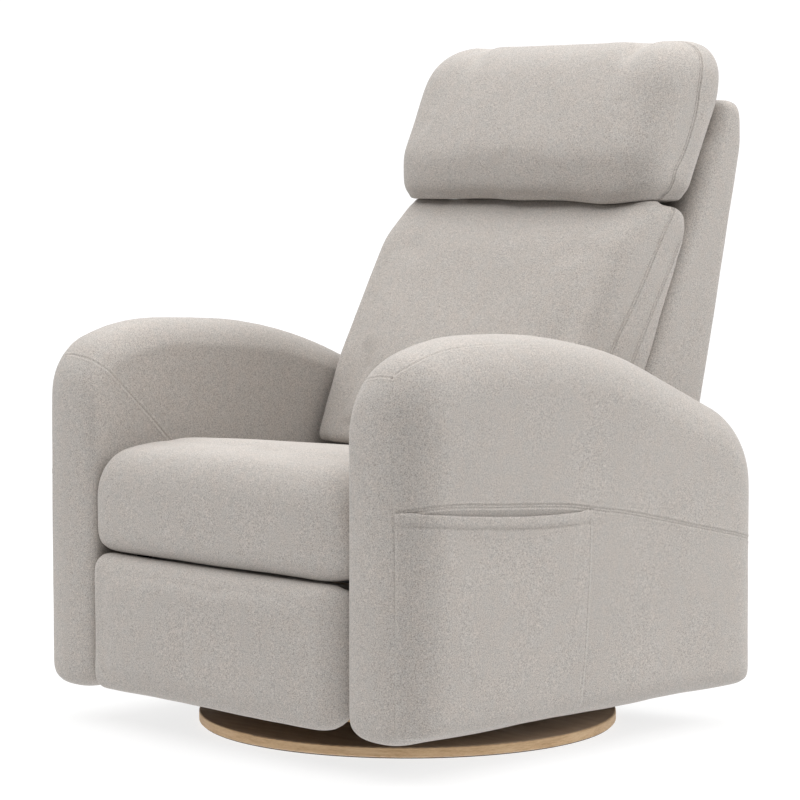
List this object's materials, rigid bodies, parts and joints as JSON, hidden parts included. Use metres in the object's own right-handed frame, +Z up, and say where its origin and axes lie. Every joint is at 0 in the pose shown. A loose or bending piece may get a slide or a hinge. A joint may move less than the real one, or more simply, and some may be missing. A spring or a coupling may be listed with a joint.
{
  "type": "swivel rocker recliner",
  "caption": "Upholstered recliner that turns on a round wooden disc, rocks on a sprung shaft, and has a folding footrest, a reclining back and a headrest that slides up.",
  "frame": {"origin": "on the floor at the swivel axis, the centre of the felt pad's lower face", "axes": "+Z up; the chair's front faces -Y; +X is the occupant's left, the side of the pocket"},
  "size_m": [0.8295, 0.8898, 1.045],
  "materials": {
    "upholstery": "woven",
    "felt": "matte",
    "disc_wood": "satin",
    "frame_wood": "raw",
    "black_steel": "satin",
    "zinc_steel": "satin",
    "link_steel": "satin",
    "spring_steel": "satin",
    "polished_steel": "polished",
    "brass": "satin",
    "black_plastic": "matte"
  },
  "bodies": {
    "base": {"floor_pad": "felt", "base_disc": "disc_wood", "lower_race": "zinc_steel", "bearing_balls": "polished_steel", "ball_cage": "brass", "swivel_post": "zinc_steel", "disc_screws": "zinc_steel"},
    "swivel": {"upper_race": "zinc_steel", "swivel_plate": "black_steel", "rocker_cradle": "black_steel", "rocker_shaft": "zinc_steel", "shaft_collars": "black_steel", "spring_seats": "black_steel", "rocker_springs": "spring_steel"},
    "chassis": {"rocker_rails": "black_steel", "rocker_bushes": "brass", "front_cross_tube": "black_steel", "rear_cross_tube": "black_steel", "spring_bars": "black_steel", "side_plate_left": "black_steel", "side_plate_right": "black_steel", "seat_rail_front": "frame_wood", "seat_rail_rear": "frame_wood", "seat_side_rails": "frame_wood", "seat_springs": "spring_steel", "seat_cushion": "upholstery", "arm_board_left": "frame_wood", "arm_board_right": "frame_wood", "arm_cover_left": "upholstery", "arm_cover_right": "upholstery", "arm_spacers": "zinc_steel", "arm_bolts": "zinc_steel", "side_pocket": "upholstery", "rear_panel": "upholstery", "release_cup": "black_plastic"},
    "release": {"release_handle": "black_plastic"},
    "drive": {"drive_tube": "zinc_steel", "drive_links": "link_steel"},
    "cross": {"cross_links": "link_steel"},
    "front": {"front_links": "link_steel"},
    "tie_left": {"tie_link_left": "link_steel"},
    "tie_right": {"tie_link_right": "link_steel"},
    "hanger_left": {"hanger_link_left": "link_steel"},
    "hanger_right": {"hanger_link_right": "link_steel"},
    "footrest": {"footrest_brackets": "link_steel", "footrest_board": "frame_wood", "footrest_pad": "upholstery"},
    "backrest": {"back_brackets": "black_steel", "back_uprights": "frame_wood", "back_rails": "frame_wood", "back_springs": "spring_steel", "back_shell": "upholstery", "back_cushion": "upholstery", "headrest_sleeves": "black_steel"},
    "headrest": {"headrest_posts": "zinc_steel", "headrest_board": "frame_wood", "headrest_pillow": "upholstery"}
  },
  "joints": [
    {"name": "swivel", "type": "hinge", "parent": "base", "child": "swivel", "pos_m": [0, 0, 0.03], "axis": [0, 0, 1], "continuous": true},
    {"name": "rock", "type": "hinge", "parent": "swivel", "child": "chassis", "pos_m": [0, 0, 0.115], "axis": [1, 0, 0], "range_deg": [-6, 6], "stiffness_Nm_per_rad": 1600, "deforming": ["rocker_springs"]},
    {"name": "footrest_drive", "type": "hinge", "parent": "chassis", "child": "drive", "pos_m": [0, -0.305, 0.25], "axis": [-1, 0, 0], "range_deg": [0, 90]},
    {"name": "cross_link", "type": "hinge", "parent": "drive", "child": "cross", "pos_m": [0, -0.29737, 0.16283], "axis": [-1, 0, 0], "range_deg": [-128, 0]},
    {"name": "front_link", "type": "hinge", "parent": "drive", "child": "front", "pos_m": [0, -0.28975, 0.07567], "axis": [-1, 0, 0], "range_deg": [-128, 0]},
    {"name": "tie_link_left", "type": "hinge", "parent": "cross", "child": "tie_left", "pos_m": [0, -0.32296, 0.24651], "axis": [-1, 0, 0], "range_deg": [0, 128]},
    {"name": "tie_link_right", "type": "hinge", "parent": "cross", "child": "tie_right", "pos_m": [0, -0.32296, 0.24651], "axis": [-1, 0, 0], "range_deg": [0, 128]},
    {"name": "hanger_link_left", "type": "hinge", "parent": "tie_left", "child": "hanger_left", "pos_m": [0, -0.31971, 0.13169], "axis": [-1, 0, 0], "range_deg": [-128, 0]},
    {"name": "hanger_link_right", "type": "hinge", "parent": "tie_right", "child": "hanger_right", "pos_m": [0, -0.31971, 0.13169], "axis": [-1, 0, 0], "range_deg": [-128, 0]},
    {"name": "footrest_panel", "type": "hinge", "parent": "front", "child": "footrest", "pos_m": [0, -0.33448, 0.22198], "axis": [-1, 0, 0], "range_deg": [0, 128]},
    {"name": "recline", "type": "hinge", "parent": "chassis", "child": "backrest", "pos_m": [0, 0.28, 0.3], "axis": [-1, 0, 0], "range_deg": [0, 35]},
    {"name": "headrest_slide", "type": "slide", "parent": "backrest", "child": "headrest", "axis": [0, 0.225, 0.9744], "range_m": [0, 0.088]},
    {"name": "release", "type": "hinge", "parent": "chassis", "child": "release", "pos_m": [-0.402, -0.21, 0.47525], "axis": [0, 1, 0], "range_deg": [0, 30], "stiffness_Nm_per_rad": 0.5}
  ],
  "couplings": [
    {"joint": "cross_link", "follows": "footrest_drive", "ratio": -1.4222},
    {"joint": "front_link", "follows": "footrest_drive", "ratio": -1.4222},
    {"joint": "tie_link_left", "follows": "footrest_drive", "ratio": 1.4222},
    {"joint": "tie_link_right", "follows": "footrest_drive", "ratio": 1.4222},
    {"joint": "hanger_link_left", "follows": "footrest_drive", "ratio": -1.4222},
    {"joint": "hanger_link_right", "follows": "footrest_drive", "ratio": -1.4222},
    {"joint": "footrest_panel", "follows": "footrest_drive", "ratio": 1.4222}
  ]
}
